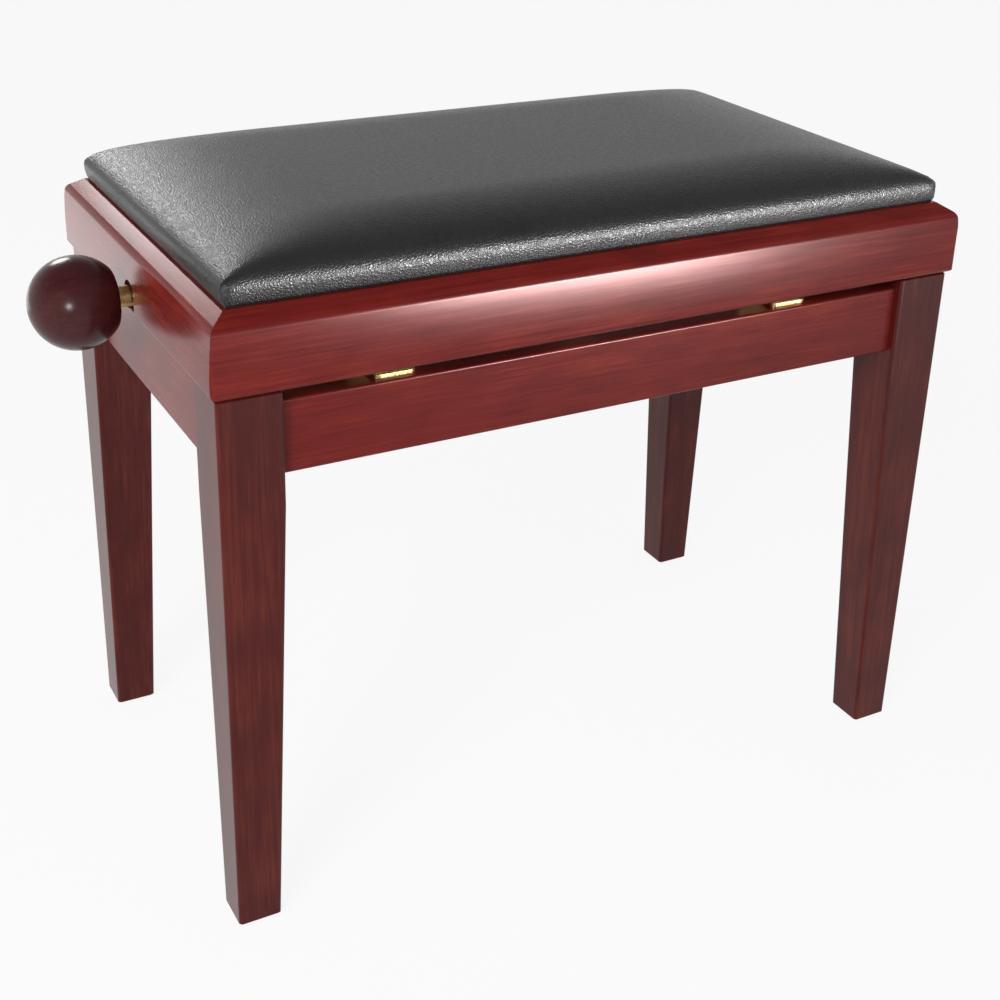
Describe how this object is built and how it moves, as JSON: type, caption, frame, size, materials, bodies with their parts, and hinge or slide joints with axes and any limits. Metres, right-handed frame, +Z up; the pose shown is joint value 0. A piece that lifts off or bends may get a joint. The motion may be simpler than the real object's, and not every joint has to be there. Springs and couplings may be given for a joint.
{
  "type": "adjustable piano bench",
  "caption": "Wooden piano bench with a padded black leatherette seat on tapered legs; a side knob turns a spindle that works a scissor lift to raise the seat.",
  "frame": {"origin": "on the floor, under the middle of the whole bench with its knob, seat at its lowest", "axes": "+X along the bench away from the knob, +Y from the front to the back, +Z up"},
  "size_m": [0.6134, 0.315, 0.4645],
  "materials": {
    "mahogany": "satin-gloss red-brown lacquer over fine straight grain",
    "knob_wood": "dark red-brown gloss lacquer",
    "block_wood": "raw planed beech",
    "plywood": "raw plywood",
    "leatherette": "fine-grained black leatherette with a soft sheen",
    "foam": "open-cell foam",
    "yellow_zinc": "yellow zinc plating",
    "black_steel": "satin black paint",
    "steel": "bright zinc plating",
    "bronze": "turned bronze",
    "glide_plastic": "moulded dark brown plastic"
  },
  "bodies": {
    "base": {"leg_front_left": "mahogany", "leg_front_right": "mahogany", "leg_back_left": "mahogany", "leg_back_right": "mahogany", "corner_block_front_left": "block_wood", "corner_block_front_right": "block_wood", "corner_block_back_left": "block_wood", "corner_block_back_right": "block_wood", "apron_front": "mahogany", "apron_back": "mahogany", "apron_left": "mahogany", "apron_right": "mahogany", "leg_glides": "glide_plastic", "leg_bolts": "steel", "bolt_nuts_and_washers": "steel", "lower_pivot_bracket_front": "yellow_zinc", "lower_pivot_bracket_back": "yellow_zinc", "lower_slide_bracket_front": "yellow_zinc", "lower_slide_bracket_back": "yellow_zinc", "lower_bracket_screws": "steel"},
    "seat": {"seat_rail_front": "mahogany", "seat_rail_back": "mahogany", "seat_rail_left": "mahogany", "seat_rail_right": "mahogany", "seat_corner_blocks": "block_wood", "seat_screws": "steel", "seat_board": "plywood", "seat_foam": "foam", "seat_cover": "leatherette", "upper_pivot_bracket_front": "yellow_zinc", "upper_pivot_bracket_back": "yellow_zinc", "upper_slide_bracket_front": "yellow_zinc", "upper_slide_bracket_back": "yellow_zinc", "upper_bracket_screws": "steel", "bearing_bar": "yellow_zinc", "bearing_bush": "bronze", "bearing_spacers": "yellow_zinc", "bearing_clips": "steel"},
    "spindle": {"spindle": "yellow_zinc", "knob": "knob_wood", "knob_insert": "bronze", "thrust_collar": "yellow_zinc", "retaining_collar": "yellow_zinc", "collar_pins": "steel", "stop_nut": "yellow_zinc"},
    "outer_arms": {"outer_arm_front": "black_steel", "outer_arm_back": "black_steel", "lower_pivot_rod": "yellow_zinc", "pivot_rod_clips": "steel", "centre_rivets": "steel", "centre_washers": "steel"},
    "inner_arms": {"inner_arm_front": "black_steel", "inner_arm_back": "black_steel", "lower_slide_rod": "yellow_zinc", "slide_rod_spacers": "yellow_zinc", "slide_rod_clips": "steel"},
    "nut_bar": {"nut_bar": "yellow_zinc", "nut_bar_clips": "steel"}
  },
  "joints": [
    {"name": "seat_lift", "type": "slide", "parent": "base", "child": "seat", "axis": [0, 0, 1], "range_m": [0, 0.09]},
    {"name": "spindle_turn", "type": "hinge", "parent": "seat", "child": "spindle", "pos_m": [-0.27675, 0, 0.39], "axis": [1, 0, 0], "range_deg": [0, 4891]},
    {"name": "outer_arms_swing", "type": "hinge", "parent": "base", "child": "outer_arms", "pos_m": [-0.12321, 0, 0.345], "axis": [0, -1, 0], "range_deg": [0, 17.27]},
    {"name": "inner_arms_swing", "type": "hinge", "parent": "seat", "child": "inner_arms", "pos_m": [-0.12321, 0, 0.39], "axis": [0, 1, 0], "range_deg": [0, 17.27]},
    {"name": "nut_bar_level", "type": "hinge", "parent": "outer_arms", "child": "nut_bar", "pos_m": [0.18678, 0, 0.38948], "axis": [0, 1, 0], "range_deg": [0, 17.27]}
  ],
  "couplings": [
    {"joint": "spindle_turn", "follows": "seat_lift", "rad_per_m": 948.43},
    {"joint": "outer_arms_swing", "follows": "seat_lift", "rad_per_m": 3.3482},
    {"joint": "inner_arms_swing", "follows": "seat_lift", "rad_per_m": 3.3482},
    {"joint": "nut_bar_level", "follows": "seat_lift", "rad_per_m": 3.3482}
  ]
}
